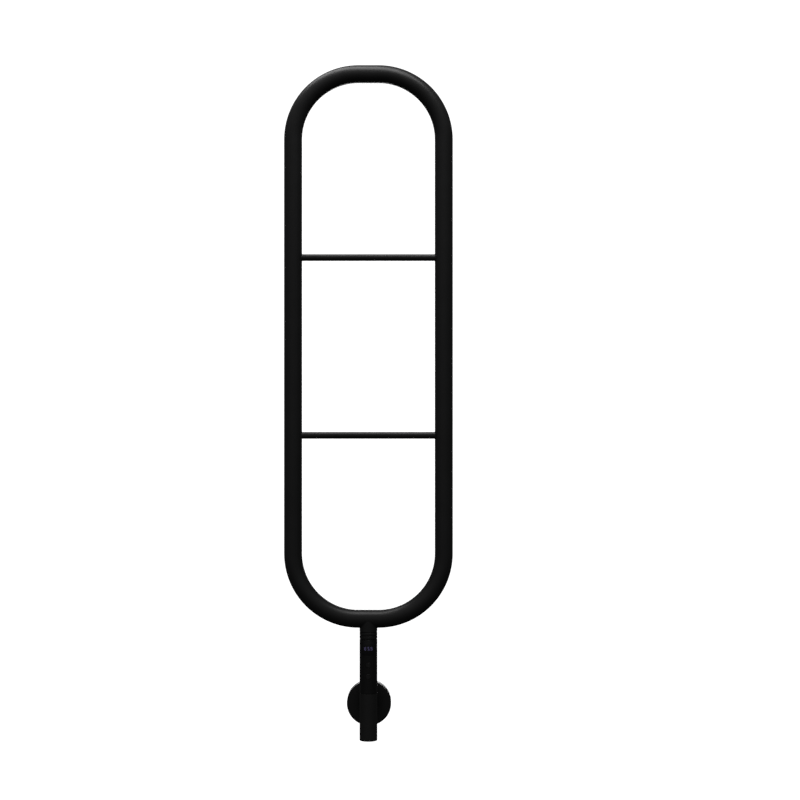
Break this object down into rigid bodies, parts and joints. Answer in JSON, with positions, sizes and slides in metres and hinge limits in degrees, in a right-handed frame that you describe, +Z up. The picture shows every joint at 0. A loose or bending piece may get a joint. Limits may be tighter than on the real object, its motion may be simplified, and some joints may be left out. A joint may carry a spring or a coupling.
{
  "type": "electric towel warmer rack",
  "caption": "Wall-hung electric towel warmer: a tall black loop of round tube with thin rungs, and a slim control stem with display and buttons below.",
  "frame": {"origin": "on the wall plane, at the centre of the four bracket screws behind the loop", "axes": "+Z up along the loop, +X to the right seen from the front, +Y towards the wall; the object lies at Y below 0"},
  "size_m": [0.3, 0.0963, 1.2],
  "materials": {
    "powder_black": "satin black powder coat with a fine grain",
    "fitting_black": "satin black powder coat, smooth",
    "rose_black": "satin black powder coat, smooth",
    "head_black": "moulded black, semi-gloss",
    "elbow_black": "moulded black, fine matte texture",
    "button_grey": "moulded dark grey, matte",
    "symbol_print": "dark grey raised symbols on the push buttons",
    "window_smoke": "smoked glossy window",
    "display_face": "flat black display face",
    "digit_glow": "lit pale violet-white bars",
    "gasket_rubber": "matte black rubber",
    "zinc_plated": "zinc-plated steel, turned",
    "screw_steel": "stainless steel screws",
    "brass_fitting": "turned brass",
    "heater_sheath": "red-brown silicone sheath",
    "crimp_tin": "tinned metal sleeves",
    "probe_steel": "stainless steel probe",
    "lead_silicone": "pale silicone insulation",
    "board_green": "green circuit board, solder mask",
    "carrier_plastic": "natural white nylon",
    "component_black": "black epoxy component bodies",
    "relay_blue": "blue relay case",
    "terminal_green": "green terminal blocks",
    "plunger_plastic": "red switch plungers"
  },
  "bodies": {
    "frame": {"arm_set_screw": "screw_steel", "board_carrier": "carrier_plastic", "bottom_bend_tube": "powder_black", "bottom_cap": "elbow_black", "bracket_set_screws": "screw_steel", "branch_stub": "powder_black", "cable_clamp": "carrier_plastic", "cable_grommet": "gasket_rubber", "cap_seal": "gasket_rubber", "clamp_screws": "screw_steel", "control_board": "board_green", "display_lens": "window_smoke", "display_module": "display_face", "earth_block": "zinc_plated", "earth_screw": "screw_steel", "earth_tag": "brass_fitting", "elbow_housing": "elbow_black", "head_set_screws": "screw_steel", "head_shell": "head_black", "heater_terminal": "terminal_green", "heating_cable": "heater_sheath", "hollow_nipple": "brass_fitting", "internal_leads": "lead_silicone", "isolating_gaskets": "gasket_rubber", "joining_sleeve": "carrier_plastic", "left_upright_tube": "powder_black", "lit_segments": "digit_glow", "lock_ring": "fitting_black", "lower_rung": "powder_black", "mains_terminal": "terminal_green", "mains_terminal_screws": "screw_steel", "microcontroller": "component_black", "nipple_nut": "brass_fitting", "power_supply_module": "component_black", "relay": "relay_blue", "right_upright_tube": "powder_black", "seam_gasket": "gasket_rubber", "splice_sleeves": "crimp_tin", "standoff_sleeve_lower_left": "powder_black", "standoff_sleeve_lower_right": "powder_black", "standoff_sleeve_upper_left": "powder_black", "standoff_sleeve_upper_right": "powder_black", "switch_cases": "component_black", "temperature_probe": "probe_steel", "thermal_fuse": "crimp_tin", "top_bend_tube": "powder_black", "union_ring": "fitting_black", "upper_rung": "powder_black", "wall_arm": "fitting_black", "wall_boss_lower_left": "zinc_plated", "wall_boss_lower_right": "zinc_plated", "wall_boss_upper_left": "zinc_plated", "wall_boss_upper_right": "zinc_plated", "wall_plate": "zinc_plated"},
    "rose": {"wall_rose": "rose_black", "rose_grip_ring": "gasket_rubber"},
    "power_button": {"power_button": "button_grey", "power_switch_plunger": "plunger_plastic"},
    "mode_button": {"mode_button": "button_grey", "mode_switch_plunger": "plunger_plastic"}
  },
  "joints": [
    {"name": "rose_slide", "type": "slide", "parent": "frame", "child": "rose", "axis": [0, -1, 0], "range_m": [0, 0.038]},
    {"name": "power_button_press", "type": "slide", "parent": "frame", "child": "power_button", "axis": [0, 1, 0], "range_m": [0, 0.0008], "stiffness_N_per_m": 1200},
    {"name": "mode_button_press", "type": "slide", "parent": "frame", "child": "mode_button", "axis": [0, 1, 0], "range_m": [0, 0.0008], "stiffness_N_per_m": 1200}
  ]
}
